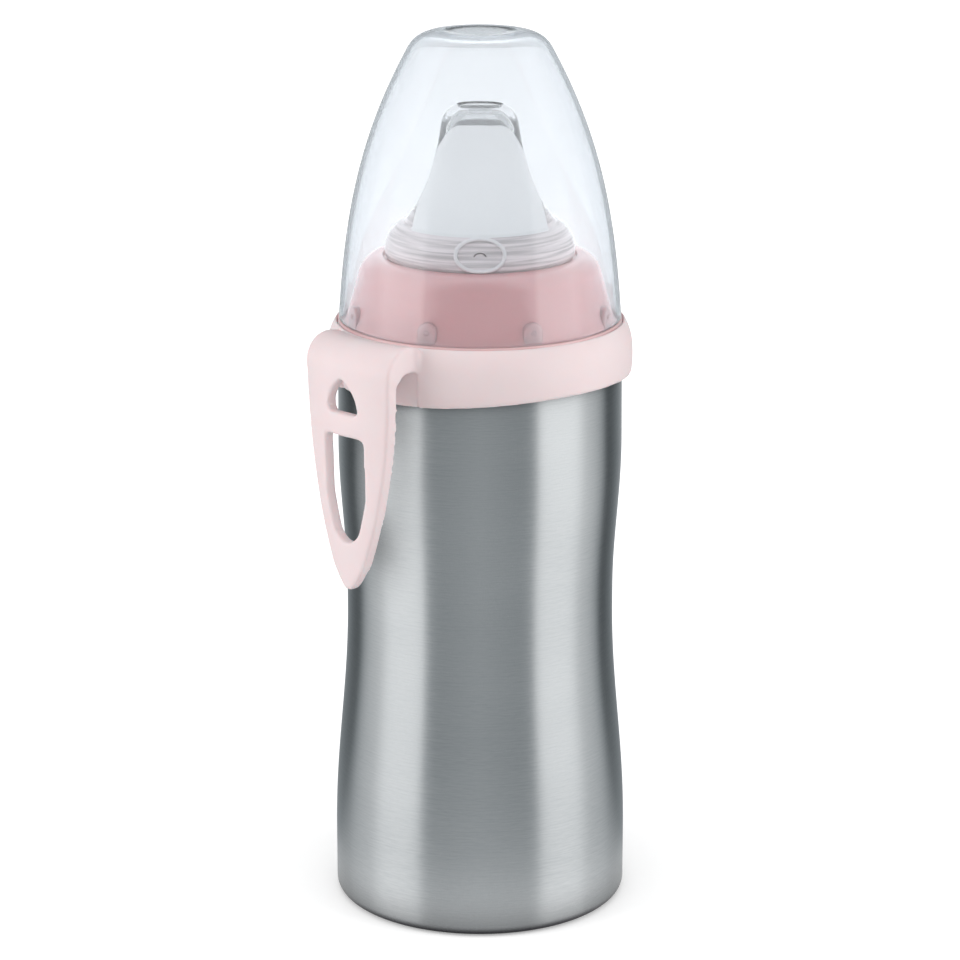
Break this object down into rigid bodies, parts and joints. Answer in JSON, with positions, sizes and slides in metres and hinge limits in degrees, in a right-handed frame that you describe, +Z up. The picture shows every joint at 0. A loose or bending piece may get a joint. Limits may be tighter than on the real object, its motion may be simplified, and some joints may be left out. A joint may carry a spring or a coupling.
{
  "type": "baby bottle",
  "caption": "Waisted double-walled steel toddler bottle with a pink clip ring, pink screw ring, soft drinking spout with a vent, and a clear domed cap.",
  "frame": {"origin": "centre of the base, on the surface that the bottle stands on", "axes": "+Z up along the bottle's axis, -Y towards the front of the spout, the clip at 45 degrees between -X and -Y"},
  "size_m": [0.071, 0.071, 0.1969],
  "materials": {
    "steel_shell": "fine brushing around the body",
    "steel_liner": "smooth drawn steel",
    "solder": "dull glass solder",
    "getter": "dull pressed metal",
    "pink_matte": "satin",
    "pink_gloss": "glossy",
    "silicone": "clear, with a frosted face",
    "clear_plastic": "clear and glossy"
  },
  "bodies": {
    "bottle": {"outer_shell": "steel_shell", "inner_liner": "steel_liner", "vacuum_base": "steel_liner", "base_cover": "steel_shell", "sealing_bead": "solder", "getter": "getter"},
    "clip": {"clip_ring": "pink_matte"},
    "spout": {"spout": "silicone"},
    "ring": {"screw_ring": "pink_gloss"},
    "cap": {"cap": "clear_plastic"}
  },
  "joints": [
    {"name": "clip_turn", "type": "hinge", "parent": "bottle", "child": "clip", "pos_m": [0, 0, 0.13], "axis": [0, 0, 1], "continuous": true},
    {"name": "spout_lift", "type": "slide", "parent": "bottle", "child": "spout", "axis": [0, 0, 1], "range_m": [0, 0.0084]},
    {"name": "ring_unscrew", "type": "hinge", "parent": "spout", "child": "ring", "pos_m": [0, 0, 0.14], "axis": [0, 0, 1], "range_deg": [0, 750]},
    {"name": "cap_pull", "type": "slide", "parent": "ring", "child": "cap", "axis": [0, 0, 1], "range_m": [0, 0.065]}
  ],
  "couplings": [
    {"joint": "spout_lift", "follows": "ring_unscrew", "m_per_rad": 0.00063662}
  ]
}
